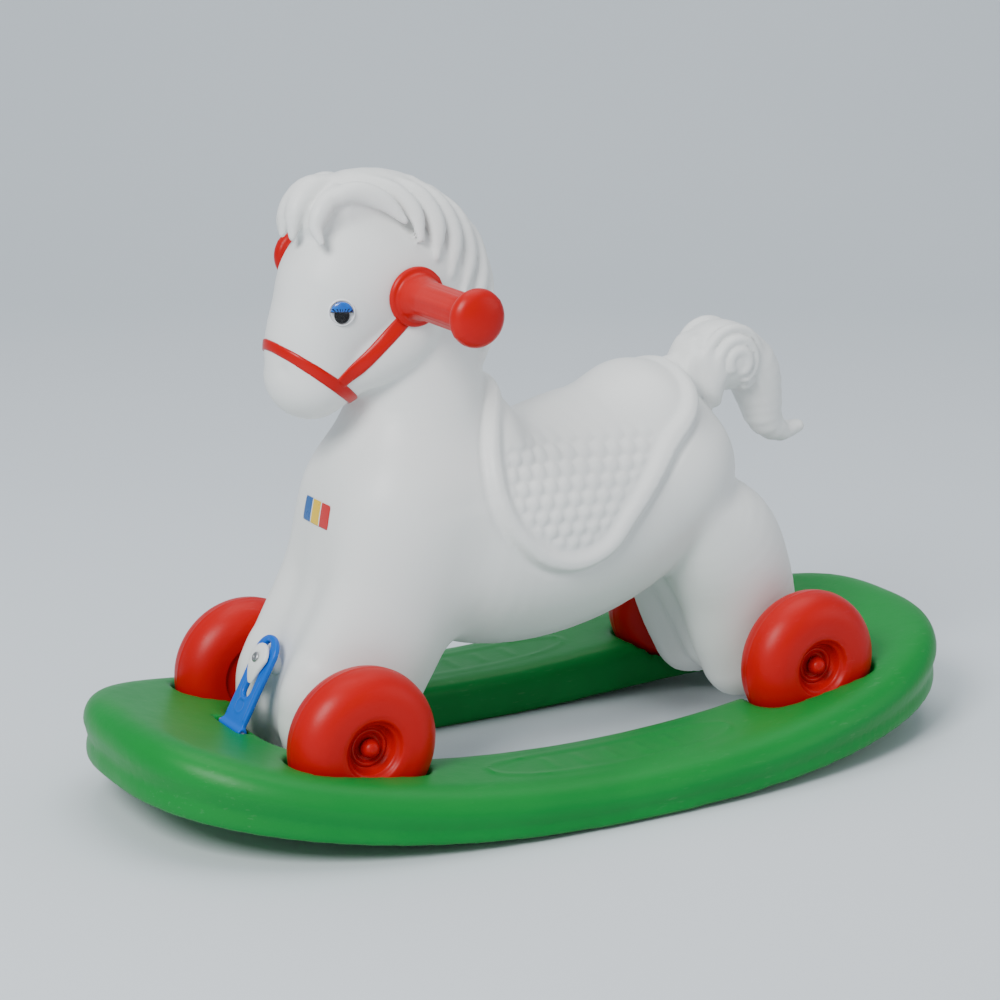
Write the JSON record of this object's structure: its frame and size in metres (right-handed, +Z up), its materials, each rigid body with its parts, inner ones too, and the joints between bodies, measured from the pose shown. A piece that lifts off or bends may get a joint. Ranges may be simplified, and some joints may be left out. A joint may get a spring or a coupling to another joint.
{
  "type": "rocking and roll-along toy horse",
  "caption": "Hollow moulded toddler horse on wheels that latches onto a curved ring-shaped rocker base, with side handles and strap latches.",
  "frame": {"origin": "on the floor under the middle of the rocker base", "axes": "+X from the horse's nose towards its tail, +Y to the horse's right side, +Z up"},
  "size_m": [0.8006, 0.404, 0.5309],
  "materials": {
    "base_green": "satin blow-moulded polyethylene",
    "horse_white": "satin blow-moulded polyethylene",
    "wheel_red": "satin moulded plastic",
    "handle_red": "satin moulded plastic",
    "latch_blue": "satin flexible polyethylene",
    "button_white": "satin moulded plastic",
    "steel": "zinc plated",
    "washer_black": "matt nylon",
    "cap_red": "gloss moulded plastic",
    "eye_white": "gloss",
    "eye_lens": "clear gloss plastic",
    "pupil_black": "gloss",
    "eyelid_blue": "gloss",
    "bridle_red": "satin tape",
    "sticker_film": "gloss film"
  },
  "bodies": {
    "rocker": {"rocker_base": "base_green", "front_latch_pin": "steel", "rear_latch_pin": "steel"},
    "horse": {"horse_body": "horse_white", "front_axle": "steel", "rear_axle": "steel", "wheel_washers": "washer_black", "axle_push_nuts": "steel", "axle_caps": "cap_red", "left_handle": "handle_red", "right_handle": "handle_red", "handle_rod": "steel", "handle_nuts": "steel", "left_eye_back": "eye_white", "right_eye_back": "eye_white", "left_eye_lens": "eye_lens", "right_eye_lens": "eye_lens", "left_eyelid": "eyelid_blue", "right_eyelid": "eyelid_blue", "noseband": "bridle_red", "left_cheek_strap": "bridle_red", "right_cheek_strap": "bridle_red", "chest_sticker": "sticker_film", "front_button_screw": "steel", "rear_button_screw": "steel"},
    "front_left_wheel": {"front_left_wheel": "wheel_red"},
    "front_right_wheel": {"front_right_wheel": "wheel_red"},
    "rear_left_wheel": {"rear_left_wheel": "wheel_red"},
    "rear_right_wheel": {"rear_right_wheel": "wheel_red"},
    "front_latch": {"front_latch": "latch_blue"},
    "rear_latch": {"rear_latch": "latch_blue"},
    "front_button": {"front_turn_button": "button_white"},
    "rear_button": {"rear_turn_button": "button_white"},
    "left_pupil": {"left_pupil": "pupil_black"},
    "right_pupil": {"right_pupil": "pupil_black"}
  },
  "joints": [
    {"name": "horse_lift", "type": "slide", "parent": "rocker", "child": "horse", "axis": [0, 0, 1], "range_m": [0, 0.25]},
    {"name": "front_left_wheel_spin", "type": "hinge", "parent": "horse", "child": "front_left_wheel", "pos_m": [-0.222, 0, 0.07983], "axis": [0, 1, 0], "continuous": true},
    {"name": "front_right_wheel_spin", "type": "hinge", "parent": "horse", "child": "front_right_wheel", "pos_m": [-0.222, 0, 0.07983], "axis": [0, 1, 0], "continuous": true},
    {"name": "rear_left_wheel_spin", "type": "hinge", "parent": "horse", "child": "rear_left_wheel", "pos_m": [0.222, 0, 0.07983], "axis": [0, 1, 0], "continuous": true},
    {"name": "rear_right_wheel_spin", "type": "hinge", "parent": "horse", "child": "rear_right_wheel", "pos_m": [0.222, 0, 0.07983], "axis": [0, 1, 0], "continuous": true},
    {"name": "front_latch_swing", "type": "hinge", "parent": "rocker", "child": "front_latch", "pos_m": [-0.286, 0, 0.07045], "axis": [0, -1, 0], "range_deg": [0, 100], "deforming": ["front_latch"]},
    {"name": "rear_latch_swing", "type": "hinge", "parent": "rocker", "child": "rear_latch", "pos_m": [0.286, 0, 0.07045], "axis": [0, 1, 0], "range_deg": [0, 100], "deforming": ["rear_latch"]},
    {"name": "front_button_turn", "type": "hinge", "parent": "horse", "child": "front_button", "pos_m": [-0.25689, 0, 0.1252], "axis": [-0.8829, 0, 0.4695], "range_deg": [-90, 90]},
    {"name": "rear_button_turn", "type": "hinge", "parent": "horse", "child": "rear_button", "pos_m": [0.25689, 0, 0.1252], "axis": [0.8829, 0, 0.4695], "range_deg": [-90, 90]},
    {"name": "left_pupil_rattle", "type": "slide", "parent": "horse", "child": "left_pupil", "axis": [0, 0, 1], "range_m": [0, 0.0052]},
    {"name": "right_pupil_rattle", "type": "slide", "parent": "horse", "child": "right_pupil", "axis": [0, 0, 1], "range_m": [0, 0.0052]}
  ]
}
